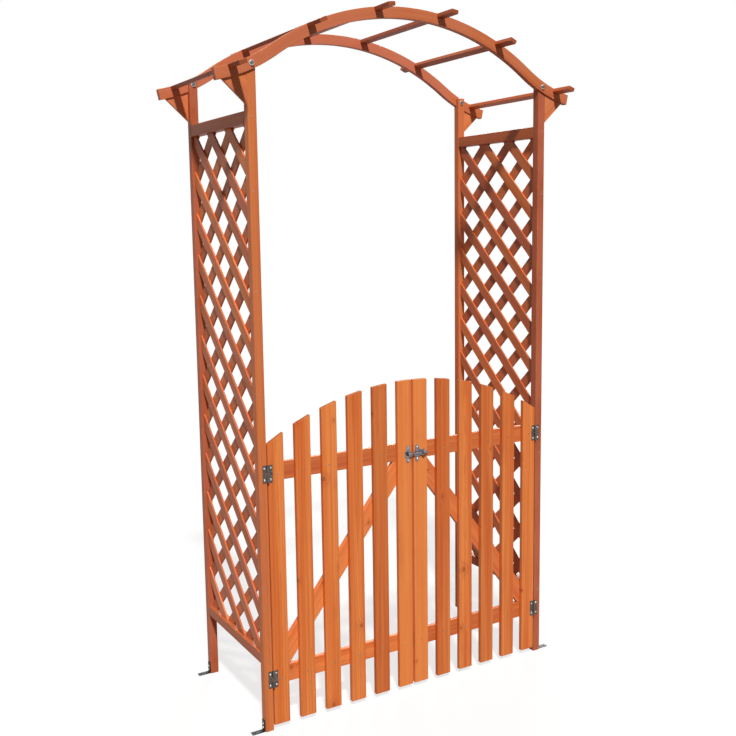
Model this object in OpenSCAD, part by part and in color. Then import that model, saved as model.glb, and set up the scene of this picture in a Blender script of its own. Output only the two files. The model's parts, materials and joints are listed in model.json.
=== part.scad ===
// Wooden rose arch with a double-leaf picket gate.
// Origin on the ground at the centre of the arch, +Z up, the gate on the -Y side.

/* [Frame] */
// Width over the outer faces of the posts
arch_w = 1056; // [850:1:1400]
// Depth over the outer faces of the posts
arch_d = 480; // [380:1:800]
// Height of the posts
post_h = 1962; // [1600:1:2400]
// Side of the square posts
post_size = 27; // [26:0.5:45]

/* [Side panels] */
// Height of the top rails' upper edge above ground
top_rail_z = 1821; // [1400:1:1900]
// Height of the top rails' section
top_rail_h = 36; // [25:1:60]
// Height of the bottom rails' upper edge above ground
bottom_rail_z = 241; // [100:1:400]
// Height of the bottom rails' section
bottom_rail_h = 32; // [25:1:60]
// Width of a lattice slat
lattice_w = 35; // [20:1:45]
// Thickness of a lattice slat
lattice_t = 6; // [4:0.5:10]
// Upright distance between lattice slats
lattice_pitch = 130; // [100:1:200]
// Whole lattice diamonds across a panel
lattice_bays = 3; // [2:1:5]
// Depth that the two lattice layers are let into each other
lattice_let_in = 0.5; // [0.2:0.1:1]

/* [Arch beams] */
// Depth of a beam, at right angles to its curve
beam_h = 33; // [25:1:60]
// Thickness of a beam
beam_t = 19; // [15:1:40]
// Distance that a beam's outer face stands out from the face of its posts
beam_proud = 5; // [2:0.5:12]
// How far the beams' undersides pass the outer faces of the posts
beam_out = 90; // [60:1:200]
// Distance in from the outer faces of the posts to where the curve reverses
join_in = 91; // [50:1:150]
// Slope of the beam where the curve reverses, in degrees
join_slope = 35; // [25:1:40]
// Slope of the beam at its ends, in degrees
end_slope = 12; // [0:1:20]
// Height from the beam's underside to the post top, at the post's centre
beam_seat = 33; // [20:1:60]

/* [Gussets] */
// Width of a gusset outside its post
gusset_w = 72; // [40:1:85]
// Height of a gusset's visible edge on its post
gusset_drop = 90; // [50:1:200]
// Thickness of a gusset
gusset_t = 10; // [8:1:20]

/* [Cross slats] */
// Width of a cross slat
slat_w = 24; // [15:1:40]
// Thickness of a cross slat, and depth of its notch in the beams
slat_t = 12; // [8:1:18]
// Distance that the cross slats pass the beams' outer faces
slat_out = 78; // [20:1:120]
// Distance between the four inner cross slats
slat_pitch = 222; // [150:1:250]
// Distance of the outer cross slats from the outer faces of the posts
end_slat_out = 45; // [30:1:70]

/* [Gate] */
// Height of the gate at the middle
gate_h = 1022; // [800:1:1300]
// Height of the gate at the hinge sides
gate_side_h = 878; // [840:1:1000]
// Clearance between the ground and the pickets
gate_ground_gap = 15; // [10:1:60]
// Gap between a post and its gate leaf
hinge_gap = 3; // [3:0.5:6]
// Gap between the two leaves
meet_gap = 8; // [8:0.5:12]
// Number of pickets in a leaf
picket_count = 6; // [4:1:8]
// Width of a picket
picket_w = 51; // [40:1:60]
// Thickness of a picket
picket_t = 14; // [12:1:22]
// Height of the gate rails' and the brace's section
gate_rail_h = 55; // [40:1:70]
// Thickness of the gate rails and the brace
gate_rail_t = 16; // [12:1:25]
// Distance of the gate rails' ends from the leaf's edges
gate_rail_in = 3; // [0:1:10]
// Height of the upper gate rail's centre
gate_upper_z = 791; // [600:1:800]
// Height of the lower gate rail's centre
gate_lower_z = 162; // [120:1:300]
// Distance of the brace's centre line from the leaf's edges, at the rails
brace_in = 24; // [15:1:60]

/* [Hinges] */
// Height of a hinge
hinge_h = 52; // [40:1:80]
// Width of one hinge plate, from the pin's centre
hinge_plate_w = 15.5; // [12:0.5:20]
// Thickness of a hinge plate
hinge_plate_t = 1.5; // [1:0.1:2]
// Radius of a hinge knuckle
knuckle_r = 3.2; // [3:0.1:4]
// Radius of a hinge pin
pin_r = 1.6; // [1.2:0.1:2]
// Radial play of a knuckle on its pin
pin_play = 0.1; // [0.05:0.05:0.2]
// Gap between a knuckle and the wood
knuckle_gap = 0.3; // [0.2:0.1:0.5]

/* [Latch] */
// Height of the latch's centre
latch_z = 785; // [700:1:850]
// Height of the latch plates over their round ends
latch_plate_h = 54; // [45:1:70]
// Thickness of the latch plates
latch_plate_t = 1.5; // [1:0.1:2.5]
// Radius of the latch plates' round ends
lobe_r = 7; // [5:0.5:8]
// Distance of the round ends' centres from the latch plates' meeting edges
lobe_in = 10; // [8:0.5:12]
// Height of the latch plates' middle
latch_body_h = 20; // [16:1:24]
// Width of the housing's plate
housing_w = 38; // [38:1:48]
// Width of the keeper's plate
keeper_w = 22; // [20:1:30]
// Distance of the latch plates from the leaves' meeting edges
latch_in = 3; // [2:0.5:4]
// Radius of the latch bolt
bolt_r = 3.5; // [2.5:0.1:4]
// Gap between the latch bolt and its plates
bolt_over = 0.8; // [0.5:0.1:1.5]
// Play of the latch bolt in the housing's loops
bolt_play = 0.3; // [0.2:0.1:0.5]
// Play of the latch bolt in the keeper's loop
keeper_play = 1; // [0.5:0.1:2]
// Wall of the loops around the latch bolt
loop_wall = 1.6; // [1:0.1:2]
// Travel of the latch bolt
bolt_travel = 12; // [10:0.5:14]
// Length of the latch bolt
bolt_l = 52; // [51:1:58]
// Radius of the latch bolt's knob
knob_r = 3; // [2:0.5:4]
// Length of the knob from the latch bolt's centre
knob_h = 15; // [10:1:20]
// Tilt of the knob upwards, in degrees
knob_tilt = 30; // [0:5:60]

/* [Foot brackets and bolts] */
// Length of both legs of a foot bracket
bracket_l = 40; // [30:1:70]
// Height of a foot bracket's upright leg
bracket_h = 36; // [30:1:70]
// Width of a foot bracket
bracket_w = 17; // [14:1:25]
// Thickness of a foot bracket
bracket_t = 2.5; // [2:0.5:5]
// Radius of a foot bracket's ground screw holes
bracket_hole_r = 2.5; // [2:0.25:3.5]
// Distance of the first ground screw hole from the post
bracket_hole_in = 13; // [10:1:20]
// Distance between a bracket's two ground screw holes
bracket_hole_pitch = 17; // [14:1:40]
// Radius of the arch bolts
arch_bolt_r = 3; // [2:0.5:4]
// Radial clearance of the arch bolts in their holes
arch_bolt_play = 0.25; // [0.1:0.05:0.5]
// Radius of the arch bolts' washers
washer_r = 8; // [7:0.5:10]
// Thickness of a washer
washer_t = 1.5; // [1:0.1:2]
// Distance across the corners of the arch bolts' heads and nuts
nut_d = 11.5; // [9:0.5:13]
// Height of the arch bolts' heads and nuts
nut_h = 4.5; // [3:0.5:6]

/* [Hidden] */
$fn = 48;

frame_wood = "sienna";
front_wood = "peru";
steel = "silver";
dark_steel = "dimgray";

// Posts and side panels
half_w = arch_w / 2;
half_d = arch_d / 2;
post_x = half_w - post_size / 2;
post_y = half_d - post_size / 2;
panel_d = arch_d - 2 * post_size;
panel_low = bottom_rail_z;
panel_high = top_rail_z - top_rail_h;
lattice_slope = atan(lattice_pitch * lattice_bays / panel_d);
lattice_rise = lattice_pitch * lattice_bays;
lattice_half_v = lattice_w / 2 / cos(lattice_slope);
lattice_start = panel_high - 3;
lattice_count = ceil((panel_high - panel_low) / lattice_pitch) + lattice_bays;
lattice_x = half_w - post_size / 2 - lattice_t + lattice_let_in / 2;

// Arch: one main arc, and a reversed arc to each end
arc_steps = 24;
flare_steps = 10;
join_x = half_w - join_in;
main_r = join_x / sin(join_slope);
flare_r = (half_w + beam_out - join_x) / (sin(join_slope) - sin(end_slope));
flare_x = join_x + flare_r * sin(join_slope);
flare_z = post_h - beam_seat + sqrt(pow(flare_r, 2) - pow(flare_x - post_x, 2));
main_z = flare_z - (flare_r + main_r) * cos(join_slope);
arch_bolt_z = post_h - beam_seat + beam_h / 2 / cos(beam_slope(post_x, 0));

// Height and slope of the curve that lies off above the beams' undersides
function beam_z(x, off) = abs(x) < (main_r + off) * sin(join_slope)
    ? main_z + sqrt(pow(main_r + off, 2) - x * x)
    : flare_z - sqrt(pow(flare_r - off, 2) - pow(flare_x - abs(x), 2));
function beam_slope(x, off) = abs(x) < (main_r + off) * sin(join_slope)
    ? asin(abs(x) / (main_r + off))
    : asin((flare_x - abs(x)) / (flare_r - off));
function half_edge(off) = concat(
    [for (i = [0 : arc_steps - 1]) let (a = join_slope * i / arc_steps)
        [(main_r + off) * sin(a), main_z + (main_r + off) * cos(a)]],
    [for (i = [0 : flare_steps]) let (a = join_slope + (end_slope - join_slope) * i / flare_steps)
        [flare_x - (flare_r - off) * sin(a), flare_z - (flare_r - off) * cos(a)]]);
function reversed(list) = [for (i = [len(list) - 1 : -1 : 0]) list[i]];
function mirrored(list) = [for (p = list) [-p[0], p[1]]];

// Cross slats, and how far above them their notches are cut
notch_over = 3;
slat_l = arch_d + 2 * (beam_proud + slat_out);
slat_places = [
    -half_w - end_slat_out, -1.5 * slat_pitch, -slat_pitch / 2,
    slat_pitch / 2, 1.5 * slat_pitch, half_w + end_slat_out
];

// Gate: the right leaf is drawn, the left one is its mirror image
leaf_outer = half_w - post_size - hinge_gap;
leaf_inner = meet_gap / 2;
picket_pitch = (leaf_outer - leaf_inner - picket_w) / (picket_count - 1);
gate_sag = gate_h - gate_side_h;
gate_arc_r = (pow(leaf_outer, 2) + pow(gate_sag, 2)) / (2 * gate_sag);
rail_outer = leaf_outer - gate_rail_in;
rail_inner = leaf_inner + gate_rail_in;
brace_low = gate_lower_z + gate_rail_h / 2;
brace_high = gate_upper_z - gate_rail_h / 2;
brace_run = leaf_outer - leaf_inner - 2 * brace_in;
brace_angle = atan2(brace_high - brace_low, brace_run);
function gate_top(x) = gate_h - gate_arc_r + sqrt(pow(gate_arc_r, 2) - x * x);

// Hinges
pin_x = leaf_outer + hinge_gap / 2;
pin_off = knuckle_r + knuckle_gap;
knuckle_l = hinge_h / 3;
knuckle_end_gap = 0.3;
knuckle_clear = 0.7;

// Latch
bolt_off = latch_plate_t + bolt_over + bolt_r;
loop_in = 1;
loop_l = 9;
tail_loop_l = 7;
keeper_loop_l = 14;
knob_clear = 1;
knob_x = leaf_inner + latch_in + loop_in + loop_l + knob_clear + knob_r + bolt_travel;

module right_left(side) {
    if (side < 0) mirror([1, 0, 0]) children();
    else children();
}

module front_back(side) {
    if (side > 0) mirror([0, 1, 0]) children();
    else children();
}

// A flat outline in X and Z, made t thick from y0 backwards
module board(y0, t) {
    translate([0, y0 + t, 0]) rotate([90, 0, 0]) linear_extrude(t) children();
}

// Everything under the right half of a beam
module under_beam() {
    polygon(concat(half_edge(0), [[half_w + beam_out, 0], [0, 0]]));
}

// Post with the notch that its beam is let into
module post(side, end) {
    right_left(side) front_back(end) color(frame_wood)
    difference() {
        translate([half_w - post_size, -half_d, 0]) cube([post_size, post_size, post_h]);
        board(-half_d - 1, beam_t - beam_proud + 1) difference() {
            translate([half_w - post_size - 1, 0]) square([post_size + 2, post_h + 1]);
            under_beam();
        }
        arch_bolt_hole();
    }
}

module arch_bolt_hole() {
    translate([post_x, -post_y, arch_bolt_z]) rotate([90, 0, 0])
        cylinder(r = arch_bolt_r + arch_bolt_play, h = 4 * (post_size + beam_t), center = true);
}

module side_rail(side, z, h) {
    right_left(side) color(frame_wood)
    translate([half_w - post_size, -panel_d / 2, z - h]) cube([post_size, panel_d, h]);
}

// One layer of slats; dir 1 rises to the back, dir -1 rises to the front
module lattice_layer(x0, dir) {
    translate([x0, 0, 0]) rotate([90, 0, 90]) linear_extrude(lattice_t)
    intersection() {
        translate([-panel_d / 2, panel_low]) square([panel_d, panel_high - panel_low]);
        for (k = [-lattice_bays : lattice_count])
            let (z = lattice_start - k * lattice_pitch, y = dir * panel_d / 2)
            polygon([
                [y, z - lattice_half_v], [y, z + lattice_half_v],
                [-y, z + lattice_half_v - lattice_rise], [-y, z - lattice_half_v - lattice_rise]
            ]);
    }
}

module lattice(side) {
    x0 = side > 0 ? lattice_x : -lattice_x - 2 * lattice_t + lattice_let_in;
    color(frame_wood) {
        lattice_layer(x0, 1);
        lattice_layer(x0 + lattice_t - lattice_let_in, -1);
    }
}

module beam_outline() {
    low = half_edge(0);
    high = half_edge(beam_h);
    last = len(low) - 1;
    polygon(concat(
        low,
        reversed(high),
        mirrored([for (i = [1 : last]) high[i]]),
        reversed(mirrored([for (i = [1 : last]) low[i]]))));
}

module arch_beam(end) {
    front_back(end) color(front_wood)
    difference() {
        board(-half_d - beam_proud, beam_t) beam_outline();
        for (x = slat_places) cross_slat_block(x, notch_over);
        for (side = [-1, 1]) right_left(side) arch_bolt_hole();
    }
}

module gusset(side, end) {
    foot = beam_z(half_w, 0);
    tip = beam_z(half_w + gusset_w, 0);
    right_left(side) front_back(end) color(front_wood)
    board(-half_d, gusset_t) intersection() {
        polygon([[half_w, foot - gusset_drop], [half_w + gusset_w, tip], [half_w, post_h]]);
        under_beam();
    }
}

// A cross slat's block, its top flush with the beams' top edges at its middle, or over above it
module cross_slat_block(x, over = 0) {
    translate([x, 0, beam_z(x, beam_h)]) rotate([0, sign(x) * beam_slope(x, beam_h), 0])
        translate([-slat_w / 2, -slat_l / 2, -slat_t]) cube([slat_w, slat_l, slat_t + over]);
}

module cross_slat(number) {
    color(frame_wood) cross_slat_block(slat_places[number - 1]);
}

// Bolt with its head on the beam and its nut behind the post
module arch_bolt() {
    through = beam_proud + post_size;
    translate([post_x, -half_d + post_size, arch_bolt_z]) rotate([90, 0, 0]) {
        cylinder(r = arch_bolt_r, h = through);
        for (z = [-washer_t, through]) translate([0, 0, z]) cylinder(r = washer_r, h = washer_t);
        for (z = [-washer_t - nut_h, through + washer_t])
            translate([0, 0, z]) cylinder(d = nut_d, h = nut_h, $fn = 6);
    }
}

module arch_bolts() {
    color(steel) for (side = [-1, 1], end = [-1, 1]) right_left(side) front_back(end) arch_bolt();
}

module foot_bracket(side, end) {
    right_left(side) front_back(end) color(dark_steel)
    translate([half_w, -post_y - bracket_w / 2, 0])
    difference() {
        union() {
            cube([bracket_t, bracket_w, bracket_h]);
            cube([bracket_l, bracket_w, bracket_t]);
        }
        for (i = [0, 1])
            translate([bracket_hole_in + i * bracket_hole_pitch, bracket_w / 2, -1])
                cylinder(r = bracket_hole_r, h = bracket_t + 2);
    }
}

// Half of a butt hinge at the height z; dir 1 is on the post, dir -1 on the gate
module hinge_half(z, dir) {
    low = z - hinge_h / 2;
    own = dir > 0 ? [0, 2] : [1];
    trim = dir > 0 ? 0 : knuckle_end_gap;
    clear = knuckle_r + knuckle_clear;
    difference() {
        union() {
            translate([dir > 0 ? pin_x + clear : pin_x - hinge_plate_w, -half_d - hinge_plate_t, low])
                cube([hinge_plate_w - clear, hinge_plate_t, hinge_h]);
            for (i = own) {
                z0 = low + i * knuckle_l + trim;
                l = knuckle_l - 2 * trim;
                translate([dir > 0 ? pin_x : pin_x - clear, -half_d - hinge_plate_t, z0])
                    cube([clear, hinge_plate_t, l]);
                translate([pin_x, -half_d - pin_off, z0]) cylinder(r = knuckle_r, h = l);
            }
        }
        if (dir < 0) translate([pin_x, -half_d - pin_off, low])
            cylinder(r = pin_r + pin_play, h = hinge_h);
    }
    if (dir > 0) translate([pin_x, -half_d - pin_off, low]) cylinder(r = pin_r, h = hinge_h);
}

module hinge_plates(side, dir) {
    right_left(side) color(dark_steel)
    for (z = [gate_lower_z, gate_upper_z]) hinge_half(z, dir);
}

module gate_pickets(side) {
    right_left(side) color(front_wood)
    for (i = [0 : picket_count - 1]) {
        x0 = leaf_inner + i * picket_pitch;
        x1 = x0 + picket_w;
        board(-half_d, picket_t) polygon([
            [x0, gate_ground_gap], [x1, gate_ground_gap], [x1, gate_top(x1)], [x0, gate_top(x0)]
        ]);
    }
}

module gate_rail(side, z) {
    right_left(side) color(front_wood)
    translate([rail_inner, -half_d + picket_t, z - gate_rail_h / 2])
        cube([rail_outer - rail_inner, gate_rail_t, gate_rail_h]);
}

module gate_brace(side) {
    right_left(side) color(front_wood)
    board(-half_d + picket_t, gate_rail_t)
    intersection() {
        translate([rail_inner, brace_low]) square([rail_outer - rail_inner, brace_high - brace_low]);
        translate([(leaf_inner + leaf_outer) / 2, (brace_low + brace_high) / 2])
            rotate(-brace_angle) square([2 * brace_run, gate_rail_h], center = true);
    }
}

// Latch plate from x0, w wide, with its round ends above and below lobe_x
module latch_plate(x0, w, lobe_x) {
    board(-half_d - latch_plate_t, latch_plate_t) {
        translate([x0, latch_z - latch_body_h / 2]) square([w, latch_body_h]);
        translate([lobe_x, latch_z]) {
            square([2 * lobe_r, latch_plate_h - 2 * lobe_r], center = true);
            for (end = [-1, 1]) translate([0, end * (latch_plate_h / 2 - lobe_r)]) circle(lobe_r);
        }
    }
}

// An arch of the radius r around the latch bolt's centre, with its feet on the plate
module arch_section(r) {
    translate([-half_d - bolt_off, 0]) intersection() {
        union() {
            circle(r);
            translate([0, -r]) square([bolt_off, 2 * r]);
        }
        translate([-r, -r]) square([r + bolt_off - latch_plate_t, 2 * r]);
    }
}

// A loop around the latch bolt, from x0 to x0 + l, standing on its plate
module bolt_loop(x0, l, play) {
    translate([x0, 0, latch_z]) rotate([90, 0, 90]) linear_extrude(l)
    difference() {
        arch_section(bolt_r + play + loop_wall);
        arch_section(bolt_r + play);
    }
}

module latch_housing() {
    x0 = leaf_inner + latch_in;
    color(steel) {
        latch_plate(x0, housing_w, x0 + lobe_in);
        bolt_loop(x0 + loop_in, loop_l, bolt_play);
        bolt_loop(x0 + housing_w - tail_loop_l, tail_loop_l, bolt_play);
    }
}

module latch_keeper() {
    x1 = -leaf_inner - latch_in;
    color(steel) {
        latch_plate(x1 - keeper_w, keeper_w, x1 - lobe_in);
        bolt_loop(x1 - keeper_loop_l, keeper_loop_l, keeper_play);
    }
}

// The bolt drawn back, its tip in the gap between the leaves
module latch_bolt() {
    color(steel) translate([0, -half_d - bolt_off, latch_z]) {
        rotate([0, 90, 0]) cylinder(r = bolt_r, h = bolt_l);
        translate([knob_x, 0, 0]) rotate([90 - knob_tilt, 0, 0]) cylinder(r = knob_r, h = knob_h);
    }
}

post(-1, -1);  // post_front_left
post(1, -1);  // post_front_right
post(-1, 1);  // post_back_left
post(1, 1);  // post_back_right
side_rail(-1, top_rail_z, top_rail_h);  // top_rail_left
side_rail(1, top_rail_z, top_rail_h);  // top_rail_right
side_rail(-1, bottom_rail_z, bottom_rail_h);  // bottom_rail_left
side_rail(1, bottom_rail_z, bottom_rail_h);  // bottom_rail_right
lattice(-1);  // lattice_left
lattice(1);  // lattice_right
arch_beam(-1);  // arch_beam_front
arch_beam(1);  // arch_beam_back
gusset(-1, -1);  // gusset_front_left
gusset(1, -1);  // gusset_front_right
gusset(-1, 1);  // gusset_back_left
gusset(1, 1);  // gusset_back_right
cross_slat(1);  // cross_slat_1
cross_slat(2);  // cross_slat_2
cross_slat(3);  // cross_slat_3
cross_slat(4);  // cross_slat_4
cross_slat(5);  // cross_slat_5
cross_slat(6);  // cross_slat_6
arch_bolts();
foot_bracket(-1, -1);  // foot_bracket_front_left
foot_bracket(1, -1);  // foot_bracket_front_right
foot_bracket(-1, 1);  // foot_bracket_back_left
foot_bracket(1, 1);  // foot_bracket_back_right
hinge_plates(-1, 1);  // hinge_post_plates_left
hinge_plates(1, 1);  // hinge_post_plates_right
gate_pickets(-1);  // gate_pickets_left
gate_rail(-1, gate_upper_z);  // gate_upper_rail_left
gate_rail(-1, gate_lower_z);  // gate_lower_rail_left
gate_brace(-1);  // gate_brace_left
hinge_plates(-1, -1);  // gate_hinge_plates_left
latch_keeper();
gate_pickets(1);  // gate_pickets_right
gate_rail(1, gate_upper_z);  // gate_upper_rail_right
gate_rail(1, gate_lower_z);  // gate_lower_rail_right
gate_brace(1);  // gate_brace_right
hinge_plates(1, -1);  // gate_hinge_plates_right
latch_housing();
latch_bolt();
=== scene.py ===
"""Looks of the wooden rose arch with a double-leaf picket gate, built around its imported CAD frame.

Every board is rebuilt from its CAD node with rounded edges and carries its own grain, so that one
procedural wood material serves them all. Lengths are in metres.
"""

import json
import math
import random

import bmesh
import bpy
from mathutils import Matrix, Vector
from mathutils.geometry import tessellate_polygon

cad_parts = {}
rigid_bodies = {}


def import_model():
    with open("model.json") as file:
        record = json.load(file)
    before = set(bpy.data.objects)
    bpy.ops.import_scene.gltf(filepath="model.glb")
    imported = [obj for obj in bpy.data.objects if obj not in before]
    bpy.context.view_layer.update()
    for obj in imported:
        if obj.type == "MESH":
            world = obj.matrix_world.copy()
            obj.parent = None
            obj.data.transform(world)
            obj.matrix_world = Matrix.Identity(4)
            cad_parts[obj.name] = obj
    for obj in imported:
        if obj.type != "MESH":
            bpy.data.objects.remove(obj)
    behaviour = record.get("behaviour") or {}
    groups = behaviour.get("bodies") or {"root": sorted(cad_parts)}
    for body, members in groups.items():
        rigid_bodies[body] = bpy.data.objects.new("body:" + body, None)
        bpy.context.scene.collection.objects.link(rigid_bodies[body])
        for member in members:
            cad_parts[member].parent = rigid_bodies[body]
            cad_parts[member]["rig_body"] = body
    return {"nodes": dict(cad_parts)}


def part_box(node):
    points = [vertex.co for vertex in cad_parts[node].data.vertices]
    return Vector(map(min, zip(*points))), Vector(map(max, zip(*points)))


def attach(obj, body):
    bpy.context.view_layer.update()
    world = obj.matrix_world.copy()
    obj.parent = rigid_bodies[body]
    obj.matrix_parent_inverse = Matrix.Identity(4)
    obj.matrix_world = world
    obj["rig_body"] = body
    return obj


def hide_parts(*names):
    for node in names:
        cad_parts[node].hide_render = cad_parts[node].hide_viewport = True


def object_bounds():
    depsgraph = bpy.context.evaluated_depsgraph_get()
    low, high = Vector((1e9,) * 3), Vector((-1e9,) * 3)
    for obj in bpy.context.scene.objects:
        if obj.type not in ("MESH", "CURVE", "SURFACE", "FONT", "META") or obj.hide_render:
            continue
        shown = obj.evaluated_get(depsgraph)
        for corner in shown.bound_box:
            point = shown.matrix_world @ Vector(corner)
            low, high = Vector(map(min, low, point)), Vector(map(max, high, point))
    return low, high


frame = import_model()
cad_low, cad_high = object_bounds()
cad_nodes = frame["nodes"]

# The arch's left and right along X, and its front and back along Y
SIDES = {"left": -1, "right": 1}
ENDS = {"front": -1, "back": 1}

# Arch beams: the curve that their grain follows
JOIN_IN = 0.091
JOIN_SLOPE = math.radians(35)
END_SLOPE = math.radians(12)
BEAM_OUT = 0.090
BEAM_SEAT = 0.033
BEAM_HEIGHT = 0.033

# Lattices
LATTICE_WIDTH = 0.035
LATTICE_PITCH = 0.130
LATTICE_BAYS = 3
LATTICE_START = 0.003
LAYER_GAP = 0.0001
SHORTEST_SLAT = 0.012

# Mending of CAD meshes: points closer than WELD are one, and faces within FLAT are one flat face
WELD = 0.000002
FLAT = math.radians(0.2)

# Rounding: points closer than SPECK are one, and the short edges round bolt holes stay sharp
SPECK = 0.0003
HOLE_EDGE = 0.0007
METAL_EDGE_RADIUS = 0.00035
METAL_SHARP_DEGREES = 40

# Kinds of board: tone from 0 (red-brown) to 1 (light), share of painted salmon sheen, knots, and
# radius of the edges
KINDS = {
    "light_post": (0.47, 0.35, 0.4, 0.0018),
    "post": (0.22, 0.35, 0.4, 0.0018),
    "rail": (0.12, 0.20, 0.4, 0.0018),
    "lattice": (0.33, 0.35, 0.2, 0.0008),
    "beam": (0.28, 0.75, 0.3, 0.0012),
    "gusset": (0.70, 0.45, 0.1, 0.0010),
    "cross": (0.24, 0.25, 0.3, 0.0013),
    "picket": (0.50, 0.00, 0.8, 0.0009),
    "middle": (0.84, 0.00, 0.5, 0.0009),
    "gate_rail": (0.40, 0.15, 0.6, 0.0018),
    "brace": (0.62, 0.20, 0.6, 0.0018),
}
MIDDLE_REACH = 0.010

# How the boards of a kind differ: where in its log each lies, its pattern, tone and share of painted
# salmon sheen
LOG_ALONG = 9
PITH_ACROSS = 0.02
PITH_THROUGH = (0.012, 0.045)
PATTERNS = 9
TONE_SPREAD = 0.17
SALMON_SHEEN_SPREAD = (0.6, 1.4)

# Cosines: a face is end grain over END_FACING, and an axis lies across the grain under ACROSS
END_FACING = 0.6
ACROSS = 0.3

# Colours are linear red, green, blue
GLAZE_MID = (0.72, 0.166, 0.036)
GLAZE_LIGHT = (0.85, 0.262, 0.068)
GLAZE_DARK = (0.46, 0.088, 0.020)
GLAZE_RED = (0.33, 0.066, 0.022)
# Painted sheen: a salmon tint that stands in for the sky's sheen on the glaze
SALMON_SHEEN = (0.62, 0.185, 0.105)
KNOT = (0.32, 0.066, 0.020)
KNOT_HEART = (0.44, 0.095, 0.026)
END_GRAIN = (0.30, 0.072, 0.020)
RUST = (0.16, 0.045, 0.015)
# Darker colour painted on the hexagonal head and nut of the arch bolts
HEX_END_DARK = (0.10, 0.09, 0.08)
SUNLIGHT = (1.0, 0.985, 0.96)

# Noises in the wood: scale along, across and through the board, detail, roughness
WOOD_NOISES = {
    "wide": ((0.8, 30, 30), 2, 0.5),
    "fine": ((2.4, 120, 120), 3, 0.6),
    "fibre": ((28, 1300, 1300), 2, 0.5),
    "blotch": ((3.2, 7, 7), 4, 0.6),
    "wear": ((22, 140, 140), 3, 0.5),
    "sway": ((1.7, 10, 10), 2, 0.5),
    "ripple": ((14, 60, 60), 2, 0.5),
    "wobble": ((90, 90, 90), 2, 0.5),
}

# Knots: cells in a metre along and across, the largest share of cells with a knot, and sizes
KNOT_CELLS = (4.2, 15.0)
KNOT_SHARE = 0.55
KNOT_GROWTH = 0.017
KNOT_LEAST = 0.00001
KNOT_LARGEST = 0.0065
KNOT_WOBBLE = 0.003
KNOT_SQUEEZE = (0.8, 1, 1)
KNOT_RIM = 0.72
HEART_RIM = (0.6, 0.1)
HALO_REACH = 2.6

# Growth rings: their width, sway and ripple, how far a knot pushes them, and their late wood
RING_WIDTH = 0.0046
RING_SWAY = 0.022
RING_RIPPLE = 0.0012
RING_PUSH = 1.4
LATE_POWER = 2.6
LATE_END = 0.92

# Finish of the wood: roughness and what adds to it, and the relief of its grain
WOOD_ROUGHNESS = 0.42
FINE_ROUGHNESS = 0.16
END_ROUGHNESS = 0.25
WOOD_SPECULAR = 0.22
LATE_RELIEF = 0.5
FIBRE_RELIEF = 0.6
KNOT_RELIEF = 0.25
WOOD_RELIEF = {"distance": 0.00025, "strength": 0.55}

# Steels: bright and dull colour, roughness, share of spangle, share of rust
STEELS = {
    "zinc_steel": ((0.30, 0.30, 0.32), (0.08, 0.08, 0.10), 0.32, 0.30, 0.0),
    "bright_zinc": ((0.66, 0.66, 0.68), (0.34, 0.34, 0.37), 0.28, 0.35, 0.0),
    "dark_steel": ((0.155, 0.140, 0.125), (0.060, 0.052, 0.046), 0.42, 0.20, 0.0),
    "black_steel": ((0.050, 0.050, 0.054), (0.018, 0.018, 0.020), 0.48, 0.15, 0.0),
    "nail_steel": ((0.34, 0.28, 0.24), (0.16, 0.10, 0.07), 0.55, 0.2, 0.5),
}
STEEL_NOISES = {
    "patches": ((160, 160, 160), 4, 0.6),
    "scratches": ((90, 90, 2600), 2, 0.5),
    "spots": ((420, 420, 420), 3, 0.7),
}
CRYSTALS = 700.0
METALLIC = 0.9
# How strongly the bolts' hexagonal ends are painted darker
HEX_END_DARKENING = 0.85
PATCH_ROUGHNESS = 0.30
SCRATCH_ROUGHNESS = 0.10
STEEL_RELIEF = {"distance": 0.00004, "strength": 0.5}

# The steel and the slot of each CAD node made of metal, by the start of its name
METAL_NODES = {
    "latch": ("zinc_steel", "zinc_steel"),
    "arch_bolts": ("bright_zinc", "zinc_steel"),
    "foot_bracket": ("black_steel", "dark_steel"),
    "hinge_post": ("dark_steel", "dark_steel"),
    "gate_hinge": ("dark_steel", "dark_steel"),
}

# Height of a bolt's hexagonal ends, and thickness of the plates and of the foot brackets
HEX_HEIGHT = 0.0043
PLATE = 0.0015
BRACKET = 0.0025

# Nail and screw heads: a profile's points are shares of the radius, and heights
NAIL_RADIUS = 0.0026
NAIL_SIDES = 12
NAIL_PROFILE = ((0.90, -0.0006), (1.00, 0.0001), (0.86, 0.00042), (0.45, 0.0006))
SCREW_RADIUS = 0.0034
SCREW_SIDES = 20
SCREW_PROFILE = ((0.96, -0.0004), (1.00, 0.0003), (0.92, 0.0010), (0.74, 0.0015))
CROSS_ARM = 0.56
CROSS_HALF = 0.13
CROSS_TAPER = 0.8
CROSS_FLOOR = 0.0005

# Places of nails and screws
POST_NAIL_OUT = 0.003
POST_NAIL_HEIGHTS = [0.45, 0.72, 1.02, 1.32, 1.60]
PICKET_NAIL_DRIFT = (0.004, 0.006)
LATTICE_NAIL_MARGIN = 0.012
HINGE_SCREW_UP = 0.0175
HINGE_SCREW_IN = 0.0058
LATCH_SCREW_UP = 0.020
LATCH_SCREW_IN = 0.010
BRACKET_SCREWS = (0.012, 0.024)

# Floor: its size, its drop under the feet, its greys, and how much of it glows white
FLOOR_SIZE = 120
FLOOR_DROP = 0.0005
FLOOR_PALE = (0.80, 0.80, 0.80)
FLOOR_DIM = (0.16, 0.16, 0.16)
FLOOR_GLOW = 0.74

# Camera, to the left in front of the arch: its place, its turn in radians, its lens in millimetres
CAMERA_PLACE = (-1.601, -2.749, 1.5046)
CAMERA_YAW = 0.5469
CAMERA_PITCH = -0.1333
CAMERA_ROLL = -0.0107
CAMERA_SENSOR = 36
CAMERA_LENS = 46.98
CAMERA_SHIFT = (-0.0322, -0.0199)


# ---------------------------------------------------------------- pieces

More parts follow.
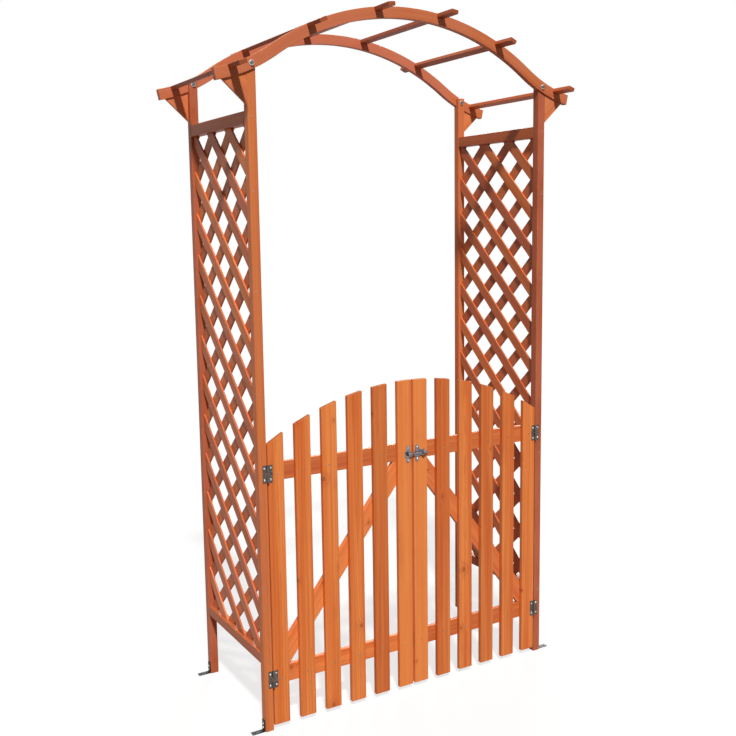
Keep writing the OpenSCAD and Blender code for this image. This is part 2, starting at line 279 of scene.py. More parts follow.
class Piece:
    """A mesh gathered board by board, with the attributes that its materials read."""

    def __init__(self):
        self.points = []
        self.faces = []
        self.place = []
        self.log = []
        self.glaze = []
        self.cut = []
        self.worn = []
        self.darkened_ends = []

    def add(self, points, faces):
        first = len(self.points)
        self.points.extend(points)
        self.faces.extend([[first + i for i in face] for face in faces])

    def add_solid(self, bm):
        """Adds a bmesh whose vertices are numbered."""
        self.add([tuple(v.co) for v in bm.verts], [[v.index for v in f.verts] for f in bm.faces])

    def write(self, name, material, body, slot, replaced=(), smooth_degrees=40):
        """Makes the object, attaches it to its body, and hides the CAD nodes that it replaces; its
        slot is not used.
        """
        mesh = bpy.data.meshes.new(name)
        mesh.from_pydata(self.points, [], self.faces)
        for key, values in (("place", self.place), ("log", self.log), ("glaze", self.glaze)):
            if values:
                layer = mesh.attributes.new(key, "FLOAT_VECTOR", "POINT")
                layer.data.foreach_set("vector", [x for value in values for x in value])
        for key, values in (("cut", self.cut), ("worn", self.worn), ("darkened_ends", self.darkened_ends)):
            if values:
                mesh.attributes.new(key, "FLOAT", "FACE").data.foreach_set("value", values)
        mesh.polygons.foreach_set("use_smooth", [True] * len(mesh.polygons))
        mesh.set_sharp_from_angle(angle=math.radians(smooth_degrees))
        mesh.materials.append(material)
        piece = bpy.data.objects.new(name, mesh)
        bpy.context.scene.collection.objects.link(piece)
        piece.modifiers.new("even_normals", "WEIGHTED_NORMAL").keep_sharp = True
        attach(piece, body)
        if replaced:
            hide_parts(*replaced)


def body_of(node):
    """The body that a CAD node moves with."""
    return cad_nodes[node]["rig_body"]


def welded(node):
    """Each solid of a CAD node as a bmesh of its own, with whole flat faces."""
    bm = bmesh.new()
    bm.from_mesh(cad_nodes[node].data)
    bmesh.ops.remove_doubles(bm, verts=bm.verts, dist=WELD)
    bmesh.ops.dissolve_limit(bm, angle_limit=FLAT, verts=bm.verts, edges=bm.edges)
    islands = []
    left = set(bm.verts)
    while left:
        island = set()
        front = [min(left, key=lambda v: v.index)]
        while front:
            vert = front.pop()
            if vert not in island:
                island.add(vert)
                front.extend(edge.other_vert(vert) for edge in vert.link_edges)
        left -= island
        islands.append(island)
    solids = []
    for island in islands:
        solid = bmesh.new()
        copies = {vert: solid.verts.new(vert.co) for vert in sorted(island, key=lambda v: v.index)}
        for face in bm.faces:
            if face.verts[0] in island:
                solid.faces.new([copies[vert] for vert in face.verts])
        solids.append(solid)
    bm.free()
    return solids


def rounded(bm, radius, segments=2, sharp_degrees=25, shortest=0.0):
    """Rounds a solid's long sharp edges, and returns the faces that the rounding made."""
    limit = math.radians(sharp_degrees)
    bm.normal_update()
    sharp = [e for e in bm.edges if len(e.link_faces) == 2 and e.calc_face_angle() > limit
             and e.calc_length() > shortest]
    made = bmesh.ops.bevel(bm, geom=sharp, offset=radius, offset_type="OFFSET", segments=segments,
                           profile=0.5, affect="EDGES", clamp_overlap=True)
    return set(made["faces"])


def split_many_sided(bm):
    """Cuts the faces of more than four corners into triangles, and numbers the vertices."""
    bmesh.ops.triangulate(bm, faces=[f for f in bm.faces if len(f.verts) > 4])
    bm.verts.index_update()


def straight_grain(bm):
    """A function from a point to its place along, across and through a straight board."""
    edge = max(bm.edges, key=lambda e: e.calc_length())
    along = (edge.verts[1].co - edge.verts[0].co).normalized()
    points = [v.co for v in bm.verts]
    spans = []
    for axis in (Vector((1, 0, 0)), Vector((0, 1, 0)), Vector((0, 0, 1))):
        if abs(axis.dot(along)) < ACROSS:
            reach = [p.dot(axis) for p in points]
            spans.append((max(reach) - min(reach), tuple(axis)))
    # A board is thinnest through its faces
    through = Vector(min(spans)[1])
    across = through.cross(along).normalized()
    middle = sum(points, Vector()) / len(points)

    def place(point):
        p = point - middle
        return Vector((p.dot(along), p.dot(across), p.dot(through)))

    return place, along


def arch_grain(_bm):
    """The same for an arch beam, whose grain runs along its curve."""
    low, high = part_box("post_front_right")
    half_w = high.x
    join_x = half_w - JOIN_IN
    main_r = join_x / math.sin(JOIN_SLOPE)
    flare_r = (half_w + BEAM_OUT - join_x) / (math.sin(JOIN_SLOPE) - math.sin(END_SLOPE))
    flare_x = join_x + flare_r * math.sin(JOIN_SLOPE)
    seat = Vector(((low.x + high.x) / 2, high.z - BEAM_SEAT))
    flare_z = seat.y + math.sqrt(flare_r ** 2 - (flare_x - seat.x) ** 2)
    main_z = flare_z - (flare_r + main_r) * math.cos(JOIN_SLOPE)

    def place(point):
        x, z = abs(point.x), point.z
        angle = math.atan2(x, z - main_z)
        if angle < JOIN_SLOPE:
            along = main_r * angle
            off = math.hypot(x, z - main_z) - main_r
        else:
            angle = math.atan2(flare_x - x, flare_z - z)
            along = main_r * JOIN_SLOPE + flare_r * (JOIN_SLOPE - angle)
            off = flare_r - math.hypot(flare_x - x, flare_z - z)
        return Vector((math.copysign(along, point.x), off - BEAM_HEIGHT / 2, point.y))

    return place, None


def add_board(piece, bm, kind, seed, grain=straight_grain, segments=2):
    """Adds one board to a piece: rounds it, and writes its grain's place and its own colour."""
    tone, salmon_sheen, knots, radius = KINDS[kind]
    draw = random.Random(seed)
    place, along = grain(bm)
    bmesh.ops.remove_doubles(bm, verts=bm.verts, dist=SPECK)
    worn = rounded(bm, radius, segments, shortest=HOLE_EDGE)
    split_many_sided(bm)
    bm.normal_update()
    shift = Vector((draw.uniform(-LOG_ALONG, LOG_ALONG), 0, 0))
    pith_across = draw.uniform(-PITH_ACROSS, PITH_ACROSS)
    pith_through = draw.choice((-1, 1)) * draw.uniform(*PITH_THROUGH)
    log = (pith_across, pith_through, draw.uniform(0, PATTERNS))
    own_tone = tone + draw.uniform(-TONE_SPREAD, TONE_SPREAD)
    # The board's tone, its share of painted salmon sheen, and its knots
    glaze = (own_tone, salmon_sheen * draw.uniform(*SALMON_SHEEN_SPREAD), knots)
    piece.add_solid(bm)
    for vert in bm.verts:
        piece.place.append(tuple(place(vert.co) + shift))
        piece.log.append(log)
        piece.glaze.append(glaze)
    for face in bm.faces:
        at_end = along and abs(face.normal.dot(along)) > END_FACING
        piece.worn.append(1.0 if face in worn else 0.0)
        piece.cut.append(1.0 if at_end and face not in worn else 0.0)
    bm.free()


# ---------------------------------------------------------------- materials

class Graph:
    """A material's node tree, with short calls for the nodes that the materials share."""

    def __init__(self, name):
        self.material = bpy.data.materials.new(name)
        self.material.use_nodes = True
        self.tree = self.material.node_tree
        self.shader = self.tree.nodes["Principled BSDF"]
        self.output = self.tree.nodes["Material Output"]

    def node(self, kind, inputs=(), **settings):
        node = self.tree.nodes.new(kind)
        for key, value in settings.items():
            setattr(node, key, value)
        for key, value in dict(inputs).items():
            self.put(node.inputs[key], value)
        return node

    def put(self, socket, value):
        """Links a socket to another, or sets its value."""
        if isinstance(value, bpy.types.NodeSocket):
            self.tree.links.new(value, socket)
        elif hasattr(value, "__len__") and len(value) == 3 and socket.type == "RGBA":
            socket.default_value = (*value, 1)
        else:
            socket.default_value = value

    def set(self, **values):
        """Puts values or links on the shader's own sockets."""
        for key, value in values.items():
            self.put(self.shader.inputs[key.replace("_", " ")], value)

    def math(self, operation, *values):
        node = self.node("ShaderNodeMath", operation=operation)
        for socket, value in zip(node.inputs, values):
            self.put(socket, value)
        return node.outputs[0]

    def add(self, *values):
        return self.math("ADD", *values)

    def subtract(self, *values):
        return self.math("SUBTRACT", *values)

    def multiply(self, *values):
        return self.math("MULTIPLY", *values)

    def vector(self, operation, *values):
        node = self.node("ShaderNodeVectorMath", operation=operation)
        for socket, value in zip(node.inputs, values):
            self.put(socket, value)
        return node.outputs["Value" if operation == "LENGTH" else "Vector"]

    def attribute(self, name):
        return self.node("ShaderNodeAttribute", attribute_name=name)

    def split(self, vector):
        return self.node("ShaderNodeSeparateXYZ", {"Vector": vector}).outputs

    def join(self, x, y, z):
        return self.node("ShaderNodeCombineXYZ", {"X": x, "Y": y, "Z": z}).outputs[0]

    def noise(self, vector, scale, detail, roughness):
        """A noise that is stretched by a scale of its own along each axis."""
        scaled = self.vector("MULTIPLY", vector, scale)
        return self.node("ShaderNodeTexNoise", {"Vector": scaled, "Scale": 1.0, "Detail": detail,
                                                "Roughness": roughness}).outputs[0]

    def steps(self, value, low, high, kind="SMOOTHSTEP"):
        """From 0 where value is at low to 1 where it is at high, which may be the smaller one."""
        return self.node("ShaderNodeMapRange", {"Value": value, "From Min": low, "From Max": high},
                         interpolation_type=kind).outputs[0]

    def mix(self, share, a, b):
        """Colour a, with a share of colour b."""
        node = self.node("ShaderNodeMix", data_type="RGBA", clamp_factor=True)
        for key, value in ((0, share), (6, a), (7, b)):
            self.put(node.inputs[key], value)
        return node.outputs[2]

    def painted(self, colour, layers):
        """A colour with layers over it, each a mask, a strength and a colour."""
        for mask, strength, paint in layers:
            colour = self.mix(self.multiply(mask, strength), colour, paint)
        return colour

    def bump(self, height, distance, strength):
        return self.node("ShaderNodeBump", {"Height": height, "Distance": distance,
                                            "Strength": strength}).outputs[0]


def knots_of(g, along, across, seed, knottiness, wobble):
    """Knots on a board's face, one at most in each cell of a coarse grid: radius and masks."""
    grid = g.join(g.multiply(along, KNOT_CELLS[0]),
                  g.math("MULTIPLY_ADD", across, KNOT_CELLS[1], seed), 0.0)
    cell = g.node("ShaderNodeTexVoronoi", {"Vector": grid, "Scale": 1.0}, voronoi_dimensions="2D")
    away = g.vector("SUBTRACT", grid, cell.outputs["Position"])
    away = g.vector("DIVIDE", away, (*KNOT_CELLS, 1))
    distance = g.vector("LENGTH", g.vector("MULTIPLY", away, KNOT_SQUEEZE))
    distance = g.add(distance, g.math("MULTIPLY_ADD", wobble, KNOT_WOBBLE, -KNOT_WOBBLE / 2))
    chance = g.split(cell.outputs["Color"])[0]
    needed = g.subtract(1.0, g.multiply(knottiness, KNOT_SHARE))
    radius = g.multiply(g.subtract(chance, needed), KNOT_GROWTH)
    radius = g.math("MINIMUM", g.math("MAXIMUM", radius, KNOT_LEAST), KNOT_LARGEST)
    nearness = g.math("DIVIDE", distance, g.multiply(radius, HALO_REACH))
    halo = g.math("EXPONENT", g.multiply(g.multiply(nearness, nearness), -1.0))
    knot = g.steps(distance, radius, g.multiply(radius, KNOT_RIM))
    heart = g.steps(distance, *(g.multiply(radius, share) for share in HEART_RIM))
    return radius, halo, knot, heart


def late_wood_of(g, across, through, pith, noises, push):
    """The dark late wood of the growth rings round a pith, pushed aside by the knots."""
    sway = g.math("MULTIPLY_ADD", noises["sway"], RING_SWAY, -RING_SWAY / 2)
    y = g.subtract(g.add(across, sway), pith[0])
    z = g.subtract(through, pith[1])
    radius = g.math("SQRT", g.add(g.multiply(y, y), g.multiply(z, z)))
    radius = g.add(radius, g.multiply(push, RING_PUSH))
    radius = g.add(radius, g.multiply(noises["ripple"], RING_RIPPLE))
    phase = g.math("FRACT", g.math("DIVIDE", radius, RING_WIDTH))
    return g.multiply(g.math("POWER", phase, LATE_POWER), g.steps(phase, 1.0, LATE_END))


def glazed_wood():
    """Planed spruce under a thin reddish glaze: rings, streaks, knots, end grain, worn edges and
    patches of painted salmon sheen.
    """
    g = Graph("glazed_wood")
    place = g.attribute("place").outputs["Vector"]
    pith_across, pith_through, seed = g.split(g.attribute("log").outputs["Vector"])
    # The board's tone, its share of painted salmon sheen, and its knots
    tone, salmon_sheen, knottiness = g.split(g.attribute("glaze").outputs["Vector"])
    along, across, through = g.split(place)
    worn = g.attribute("worn").outputs["Fac"]
    cut = g.attribute("cut").outputs["Fac"]
    noises = {name: g.noise(place, *values) for name, values in WOOD_NOISES.items()}
    fine, fibre, blotch = (noises[name] for name in ("fine", "fibre", "blotch"))
    knot_r, halo, knot, heart = knots_of(g, along, across, seed, knottiness, noises["wobble"])
    pith = (pith_across, pith_through)
    late = late_wood_of(g, across, through, pith, noises, g.multiply(halo, knot_r))

    ends = g.mix(g.multiply(late, 0.6), END_GRAIN, KNOT)
    colour = g.mix(g.steps(noises["wide"], 0.36, 0.64), GLAZE_MID, GLAZE_LIGHT)
    # Each layer over the glaze: where it lies, how strongly it shows, and its colour
    colour = g.painted(colour, (
        (g.steps(fine, 0.45, 0.75), 0.52, GLAZE_DARK),
        (late, 0.50, GLAZE_DARK),
        (g.steps(tone, 0.5, 0.0, "LINEAR"), 1.05, GLAZE_RED),
        (g.steps(tone, 0.5, 1.0, "LINEAR"), 0.85, GLAZE_LIGHT),
        # Painted sheen: salmon patches that stand in for the sky's sheen on the glaze
        (g.steps(blotch, 0.30, 0.60), salmon_sheen, SALMON_SHEEN),
        (g.steps(blotch, 0.50, 0.78), 0.30, GLAZE_DARK),
        (g.steps(fibre, 0.50, 0.80), 0.16, GLAZE_DARK),
        (halo, 0.38, KNOT_HEART),
        (knot, 0.62, KNOT),
        (heart, 0.55, KNOT_HEART),
        (g.multiply(worn, g.steps(noises["wear"], 0.42, 0.62)), 0.22, GLAZE_LIGHT),
        (cut, 0.75, ends),
    ))

    rough = g.math("MULTIPLY_ADD", fine, FINE_ROUGHNESS, WOOD_ROUGHNESS)
    rough = g.add(rough, g.multiply(cut, END_ROUGHNESS))
    height = g.add(g.multiply(late, LATE_RELIEF), g.multiply(fibre, FIBRE_RELIEF))
    height = g.subtract(height, g.multiply(knot, KNOT_RELIEF))
    g.set(Base_Color=colour, Roughness=rough, Normal=g.bump(height, **WOOD_RELIEF))
    g.set(Specular_IOR_Level=WOOD_SPECULAR)
    return g.material


def plated_steel(name, bright, dull, roughness, spangle, rust):
    """Zinc-plated steel: a fine spangle, dull patches and, on nails, a trace of rust."""
    g = Graph(name)
    place = g.node("ShaderNodeTexCoord").outputs["Object"]
    crystals = g.node("ShaderNodeTexVoronoi", {"Vector": place, "Scale": CRYSTALS})
    shade = g.split(crystals.outputs["Color"])[0]
    patches = g.noise(place, *STEEL_NOISES["patches"])
    scratches = g.noise(place, *STEEL_NOISES["scratches"])
    colour = g.mix(g.steps(patches, 0.35, 0.7), bright, dull)
    layers = [(shade, spangle, bright)]
    if rust:
        spots = g.noise(place, *STEEL_NOISES["spots"])
        layers.append((g.steps(spots, 0.52, 0.66), rust, RUST))
    # Faces marked in the attribute are painted a darker colour
    layers.append((g.attribute("darkened_ends").outputs["Fac"], HEX_END_DARKENING, HEX_END_DARK))
    colour = g.painted(colour, layers)
    rough = g.math("MULTIPLY_ADD", patches, PATCH_ROUGHNESS, roughness - PATCH_ROUGHNESS / 2)
    rough = g.add(rough, g.multiply(scratches, SCRATCH_ROUGHNESS))
    g.set(Base_Color=colour, Roughness=rough, Metallic=METALLIC)
    g.set(Normal=g.bump(g.add(scratches, shade), **STEEL_RELIEF))
    return g.material


# ---------------------------------------------------------------- boards

def boards(material):
    """Every straight board and both arch beams, one piece for each CAD node."""
    kinds = {
        "light_post": ["post_front_left"],
        "post": ["post_front_right", "post_back_left", "post_back_right"],
        "rail": [f"{rail}_rail_{side}" for rail in ("top", "bottom") for side in SIDES],
        "beam": [f"arch_beam_{end}" for end in ENDS],
        "gusset": [f"gusset_{end}_{side}" for end in ENDS for side in SIDES],
        "cross": [node for node in sorted(cad_nodes) if node.startswith("cross_slat")],
        "gate_rail": [f"gate_{rail}_rail_{side}" for rail in ("upper", "lower") for side in SIDES],
        "brace": [f"gate_brace_{side}" for side in SIDES],
    }
    for kind, nodes in kinds.items():
        grain = arch_grain if kind == "beam" else straight_grain
        for node in nodes:
            piece = Piece()
            for number, solid in enumerate(welded(node)):
                add_board(piece, solid, kind, f"{node}{number}", grain)
            piece.write(f"{node}_board", material, body_of(node), "glazed_wood", [node])


def pickets(material):
    """The pickets of both leaves, the two at the middle lighter than the rest."""
    for side in SIDES:
        node = f"gate_pickets_{side}"
        piece = Piece()
        for number, solid in enumerate(welded(node)):
            nearest = min(abs(v.co.x) for v in solid.verts)
            kind = "middle" if nearest < MIDDLE_REACH else "picket"
            add_board(piece, solid, kind, f"{node}{number}")
        piece.write(f"{node}_boards", material, body_of(node), "glazed_wood", [node])


def lattice_lines(low, high, direction):
    """The height of each slat's centre line at the panel's front and back, for one layer."""
    rise = LATTICE_PITCH * LATTICE_BAYS
    count = math.ceil((high.z - low.z) / LATTICE_PITCH) + LATTICE_BAYS
    for number in range(-LATTICE_BAYS, count + 1):
        top = high.z - LATTICE_START - number * LATTICE_PITCH
        yield (top - rise, top) if direction > 0 else (top, top - rise)


def clipped(points, height, keep_above):
    """A flat outline in Y and Z, cut off at a height."""
    sign = 1 if keep_above else -1
    kept = []
    for a, b in zip(points, points[1:] + points[:1]):
        inside_a, inside_b = (sign * (p[1] - height) >= 0 for p in (a, b))
        if inside_a:
            kept.append(a)
        if inside_a != inside_b:
            share = (height - a[1]) / (b[1] - a[1])
            kept.append((a[0] + share * (b[0] - a[0]), height))
    return kept


def prism(outline, x0, x1):
    """A solid from an outline in Y and Z, between two places along X."""
    bm = bmesh.new()
    near = [bm.verts.new((x0, y, z)) for y, z in outline]
    far = [bm.verts.new((x1, y, z)) for y, z in outline]
    bm.faces.new(near)
    bm.faces.new(far[::-1])
    for i in range(len(near)):
        j = (i + 1) % len(near)
        bm.faces.new((near[i], far[i], far[j], near[j]))
    bmesh.ops.recalc_face_normals(bm, faces=bm.faces)
    return bm


def lattices(material):
    """Two layers of crossing slats in each side panel."""
    for side in SIDES:
        node = f"lattice_{side}"
        low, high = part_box(node)
        depth = high.y - low.y
        slope = math.atan(LATTICE_PITCH * LATTICE_BAYS / depth)
        half_v = LATTICE_WIDTH / 2 / math.cos(slope)
        middle = (low.x + high.x) / 2
        layers = ((1, low.x, middle - LAYER_GAP), (-1, middle + LAYER_GAP, high.x))
        piece = Piece()
        for direction, x0, x1 in layers:
            for number, (front, back) in enumerate(lattice_lines(low, high, direction)):
                outline = [(low.y, front - half_v), (high.y, back - half_v),
                           (high.y, back + half_v), (low.y, front + half_v)]
                for height, keep_above in ((low.z, True), (high.z, False)):
                    outline = clipped(outline, height, keep_above)
                heights = [z for _, z in outline]
                if len(outline) > 2 and max(heights) - min(heights) > SHORTEST_SLAT:
                    add_board(piece, prism(outline, x0, x1), "lattice",
                              f"{node}{direction}{number}", segments=1)
        piece.write(f"{node}_slats", material, body_of(node), "glazed_wood", [node])


# ---------------------------------------------------------------- metal

def hex_ends(bolt):
    """1 for the faces of a bolt's hexagonal head and nut, and 0 for its washers and shank."""
    ys = [v.co.y for v in bolt.verts]
    low, high = min(ys) + HEX_HEIGHT, max(ys) - HEX_HEIGHT
    return [0.0 if low < f.calc_center_median().y < high else 1.0 for f in bolt.faces]


def metal_copies(steels):
    """The steel parts, from their CAD nodes, with their sharp edges broken."""
    for node in cad_nodes:
        start = next((start for start in METAL_NODES if node.startswith(start)), None)
        if start is None:
            continue
        steel, slot = METAL_NODES[start]
        piece = Piece()
        for solid in welded(node):
            rounded(solid, METAL_EDGE_RADIUS, sharp_degrees=METAL_SHARP_DEGREES)
            split_many_sided(solid)
            piece.add_solid(solid)
            # The arch bolts' hexagonal head and nut are painted darker than their washers
            if node == "arch_bolts":
                piece.darkened_ends.extend(hex_ends(solid))
            solid.free()
        piece.write(f"{node}_steel", steels[steel], body_of(node), slot, [node])


def turned(profile, radius, sides):
    """Points and faces of a closed solid of revolution about +Z."""
    points, faces = [], []
    for share, height in profile:
        for i in range(sides):
            angle = 2 * math.pi * i / sides
            reach = radius * share
            points.append(Vector((reach * math.cos(angle), reach * math.sin(angle), height)))
    for ring in range(len(profile) - 1):
        for i in range(sides):
            j = (i + 1) % sides
            a, b = ring * sides, (ring + 1) * sides
            faces.append([a + i, a + j, b + j, b + i])
    faces.append(list(range(sides))[::-1])
    faces.append([len(points) - sides + i for i in range(sides)])
    return points, faces


def screw_shape():
    """A pan-head screw with a cross recess, standing on the XY plane."""
    points, faces = turned(SCREW_PROFILE, SCREW_RADIUS, SCREW_SIDES)
    faces.pop()
    arm, half = SCREW_RADIUS * CROSS_ARM, SCREW_RADIUS * CROSS_HALF
    cross = []
    for quarter in range(4):
        turn = Matrix.Rotation(quarter * math.pi / 2, 3, "Z")
        for x, y in ((half, -half), (arm, -half), (arm, half)):
            cross.append(turn @ Vector((x, y, 0)))
    rim = len(points) - SCREW_SIDES
    first = len(points)
    count = len(cross)
    top = SCREW_PROFILE[-1][1]
    points += [Vector((p.x, p.y, top)) for p in cross]
    points += [Vector((p.x * CROSS_TAPER, p.y * CROSS_TAPER, CROSS_FLOOR)) for p in cross]
    flat = [points[rim + i] for i in range(SCREW_SIDES)]
    hole = [points[first + i] for i in range(count)]
    order = [rim + i for i in range(SCREW_SIDES)] + [first + i for i in range(count)]
    for triangle in tessellate_polygon([flat, hole]):
        faces.append(facing_up(points, [order[i] for i in triangle]))
    for i in range(count):
        j = (i + 1) % count
        faces.append([first + i, first + count + i, first + count + j, first + j][::-1])
    base = [points[first + count + i] for i in range(count)]
    for triangle in tessellate_polygon([base]):
        faces.append(facing_up(points, [first + count + i for i in triangle]))
    return points, faces


def facing_up(points, triangle):
    """A triangle of points, turned over if it faces down."""
    a, b, c = (points[i] for i in triangle)
    return triangle if (b - a).cross(c - a).z > 0 else triangle[::-1]


def fasten(piece, shape, spots, draw):
    """Adds a copy of a fastener at each (place, outward direction)."""
    points, faces = shape
    for spot, outward in spots:
        turn = Vector(outward).to_track_quat("Z", "Y").to_matrix()
        turn = turn @ Matrix.Rotation(draw.uniform(0, math.pi), 3, "Z")
        piece.add([tuple(turn @ p + Vector(spot)) for p in points], faces)


def picket_nails(side):
    """A nail through the middle of each picket into both gate rails."""
    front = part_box(f"gate_pickets_{side}")[0].y
    drift_x, drift_z = PICKET_NAIL_DRIFT
    draw = random.Random(side)
    for rail in ("upper", "lower"):
        low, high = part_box(f"gate_{rail}_rail_{side}")
        for solid in welded(f"gate_pickets_{side}"):
            xs = [v.co.x for v in solid.verts]
            x = (min(xs) + max(xs)) / 2 + draw.uniform(-drift_x, drift_x)
            z = (low.z + high.z) / 2 + draw.uniform(-drift_z, drift_z)
            yield (x, front, z), (0, -1, 0)
            solid.free()


def post_nails(side, sign):
    """Nails through the posts of a side panel into its rails and slats."""
    for end, out in ENDS.items():
        low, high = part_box(f"post_{end}_{side}")
        face = low.y if out < 0 else high.y
        heights = [sum(v.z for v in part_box(f"{rail}_rail_{side}")) / 2 for rail in ("top", "bottom")]
        for z in heights + POST_NAIL_HEIGHTS:
            yield ((low.x + high.x) / 2 + sign * POST_NAIL_OUT, face, z), (0, out, 0)


def lattice_nails(side, sign):
    """A nail wherever two slats of a side panel cross."""
    low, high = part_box(f"lattice_{side}")
    face = low.x if sign < 0 else high.x
    rise = LATTICE_PITCH * LATTICE_BAYS
    depth = high.y - low.y
    rows = math.ceil((high.z - low.z) / LATTICE_PITCH) + 2 * LATTICE_BAYS
    lowest, highest = low.z + LATTICE_NAIL_MARGIN, high.z - LATTICE_NAIL_MARGIN
    for total in range(-2 * LATTICE_BAYS, 2 * rows):
        z = high.z - LATTICE_START - total / 2 * LATTICE_PITCH - rise / 2
        for step in range(1 - LATTICE_BAYS, LATTICE_BAYS):
            if (total + step) % 2 == 0 and lowest < z < highest:
                y = (low.y + high.y) / 2 + step * depth / (2 * LATTICE_BAYS)
                yield (face, y, z), (sign, 0, 0)


def slat_nails():
    """A nail down through each cross slat into both beams."""
    for node in sorted(cad_nodes):
        if node.startswith("cross_slat"):
            bm = welded(node)[0]
            bm.normal_update()
            top = max(bm.faces, key=lambda f: f.normal.z)
            middle, outward = top.calc_center_median(), top.normal.copy()
            for end in ENDS:
                low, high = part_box(f"arch_beam_{end}")
                yield (middle.x, (low.y + high.y) / 2, middle.z), outward
            bm.free()


def hinge_screws(node):
    """Two screws in each of a node's hinge plates."""
    for solid in welded(node):
        xs, ys, zs = ([v.co[i] for v in solid.verts] for i in range(3))
        plate_front = max(ys) - PLATE
        outer = max(xs, key=abs)
        inner = min(xs, key=abs)
        off = math.copysign(HINGE_SCREW_IN, outer)
        x = outer - off if "post" in node else inner + off
        for up in (-HINGE_SCREW_UP, HINGE_SCREW_UP):
            yield (x, plate_front, (min(zs) + max(zs)) / 2 + up), (0, -1, 0)
        solid.free()


def latch_screws(node):
    """A screw in both round ends of a latch plate."""
    low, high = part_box(node)
    inner = low.x if low.x > 0 else high.x
    x = inner + math.copysign(LATCH_SCREW_IN, inner)
    for up in (-LATCH_SCREW_UP, LATCH_SCREW_UP):
        yield (x, high.y - PLATE, (low.z + high.z) / 2 + up), (0, -1, 0)


def bracket_screws():
    """Two screws through each foot bracket's upright leg into its post."""
    for end in ENDS:
        for side, sign in SIDES.items():
            low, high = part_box(f"foot_bracket_{end}_{side}")
            face = (high.x if sign < 0 else low.x) + sign * BRACKET
            for z in BRACKET_SCREWS:
                yield (face, (low.y + high.y) / 2, z), (sign, 0, 0)


def fasteners(nail_steel, bright):
    """All nails and screws, one piece of each kind on each body."""
    nail, screw = turned(NAIL_PROFILE, NAIL_RADIUS, NAIL_SIDES), screw_shape()
    nails, screws = [], [*bracket_screws()]
    for side, sign in SIDES.items():
        nails += [*post_nails(side, sign), *lattice_nails(side, sign)]
        screws += hinge_screws(f"hinge_post_plates_{side}")
    nails += slat_nails()
    jobs = [("frame_nails", nail, nails, "frame", nail_steel),
            ("frame_screws", screw, screws, "frame", bright)]
    for side, latch in (("left", "latch_keeper"), ("right", "latch_housing")):
        body = f"gate_{side}"
        screws = [*hinge_screws(f"gate_hinge_plates_{side}"), *latch_screws(latch)]
        jobs.append((f"{body}_nails", nail, picket_nails(side), body, nail_steel))
        jobs.append((f"{body}_screws", screw, screws, body, bright))
    for name, shape, spots, body, material in jobs:
        piece = Piece()
        fasten(piece, shape, spots, random.Random(name))
        piece.write(name, material, body, "zinc_steel", smooth_degrees=50)


# ---------------------------------------------------------------- stage

def make_floor():
    """A plain pale floor that shows white and keeps a soft shadow."""
    bpy.ops.mesh.primitive_plane_add(size=FLOOR_SIZE, location=(0, 0, cad_low.z - FLOOR_DROP))
    floor = bpy.context.object
    floor.name = "floor"
    g = Graph("floor")
    path = g.node("ShaderNodeLightPath")
    pale = g.node("ShaderNodeBsdfDiffuse", {"Color": FLOOR_PALE})
    dim = g.node("ShaderNodeBsdfDiffuse", {"Color": FLOOR_DIM})
    white = g.node("ShaderNodeEmission", {"Color": (1, 1, 1), "Strength": 1.0})
    shown = g.node("ShaderNodeMixShader", {0: FLOOR_GLOW, 1: pale.outputs[0], 2: white.outputs[0]})
    seen = g.math("MAXIMUM", path.outputs["Is Camera Ray"], path.outputs["Is Glossy Ray"])
    both = g.node("ShaderNodeMixShader", {0: seen, 1: dim.outputs[0], 2: shown.outputs[0]})
    g.tree.links.new(both.outputs[0], g.output.inputs["Surface"])
    g.tree.nodes.remove(g.shader)
    floor.data.materials.append(g.material)


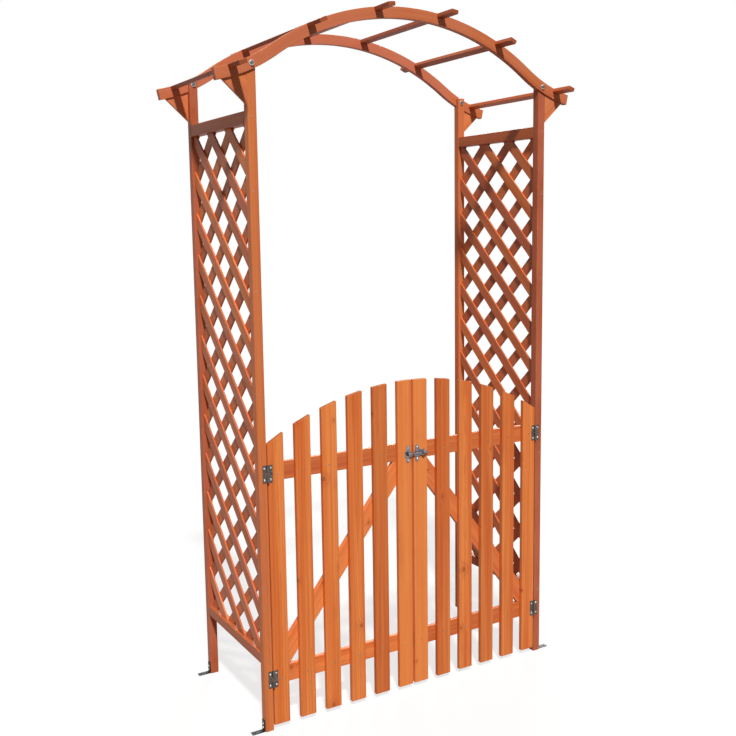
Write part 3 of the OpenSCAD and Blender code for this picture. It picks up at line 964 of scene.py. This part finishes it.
def make_world(strength, colour):
    """A plain even fill, seen as white by the camera and in reflections."""
    world = bpy.data.worlds.new("world")
    world.use_nodes = True
    bpy.context.scene.world = world
    nodes, links = world.node_tree.nodes, world.node_tree.links
    fill = nodes["Background"]
    fill.inputs["Color"].default_value = (*colour, 1)
    fill.inputs["Strength"].default_value = strength
    white = nodes.new("ShaderNodeBackground")
    white.inputs["Color"].default_value = (1, 1, 1, 1)
    path = nodes.new("ShaderNodeLightPath")
    seen = path.outputs["Is Camera Ray"]
    for kind in ("Is Glossy Ray", "Is Transmission Ray"):
        either = nodes.new("ShaderNodeMath")
        either.operation = "MAXIMUM"
        links.new(seen, either.inputs[0])
        links.new(path.outputs[kind], either.inputs[1])
        seen = either.outputs[0]
    mix = nodes.new("ShaderNodeMixShader")
    links.new(seen, mix.inputs[0])
    links.new(fill.outputs[0], mix.inputs[1])
    links.new(white.outputs[0], mix.inputs[2])
    links.new(mix.outputs[0], nodes["World Output"].inputs["Surface"])


def make_sun(name, direction, strength, softness):
    """A lamp far away, which shines along a direction, with its softness in degrees."""
    lamp = bpy.data.lights.new(name, "SUN")
    lamp.energy = strength
    lamp.angle = math.radians(softness)
    lamp.color = SUNLIGHT
    sun = bpy.data.objects.new(name, lamp)
    sun.rotation_mode = "QUATERNION"
    sun.rotation_quaternion = Vector(direction).to_track_quat("-Z", "Y")
    bpy.context.scene.collection.objects.link(sun)


def make_camera():
    """The camera, turned from looking along +Y by its yaw, pitch and roll in radians."""
    level_reach = math.cos(CAMERA_PITCH)
    forward = Vector((math.sin(CAMERA_YAW) * level_reach, math.cos(CAMERA_YAW) * level_reach,
                      math.sin(CAMERA_PITCH)))
    level = Vector((math.cos(CAMERA_YAW), -math.sin(CAMERA_YAW), 0))
    upright = level.cross(forward)
    right = math.cos(CAMERA_ROLL) * level + math.sin(CAMERA_ROLL) * upright
    up = right.cross(forward)
    turn = Matrix((right, up, -forward)).transposed().to_4x4()
    data = bpy.data.cameras.new("camera")
    data.sensor_width = CAMERA_SENSOR
    data.lens = CAMERA_LENS
    data.shift_x, data.shift_y = CAMERA_SHIFT
    camera = bpy.data.objects.new("camera", data)
    camera.matrix_world = Matrix.Translation(CAMERA_PLACE) @ turn
    bpy.context.scene.collection.objects.link(camera)
    bpy.context.scene.camera = camera


def main():
    wood = glazed_wood()
    steels = {name: plated_steel(name, *values) for name, values in STEELS.items()}
    boards(wood)
    pickets(wood)
    lattices(wood)
    metal_copies(steels)
    fasteners(steels["nail_steel"], steels["bright_zinc"])
    make_floor()
    make_world(strength=0.13, colour=(0.93, 0.96, 1.0))
    make_sun("key", direction=(0.25, 0.65, -0.90), strength=4.1, softness=4)
    make_sun("back", direction=(-0.55, -0.70, -0.28), strength=1.9, softness=25)
    make_camera()
    bpy.context.scene.view_settings.view_transform = "Standard"


main()
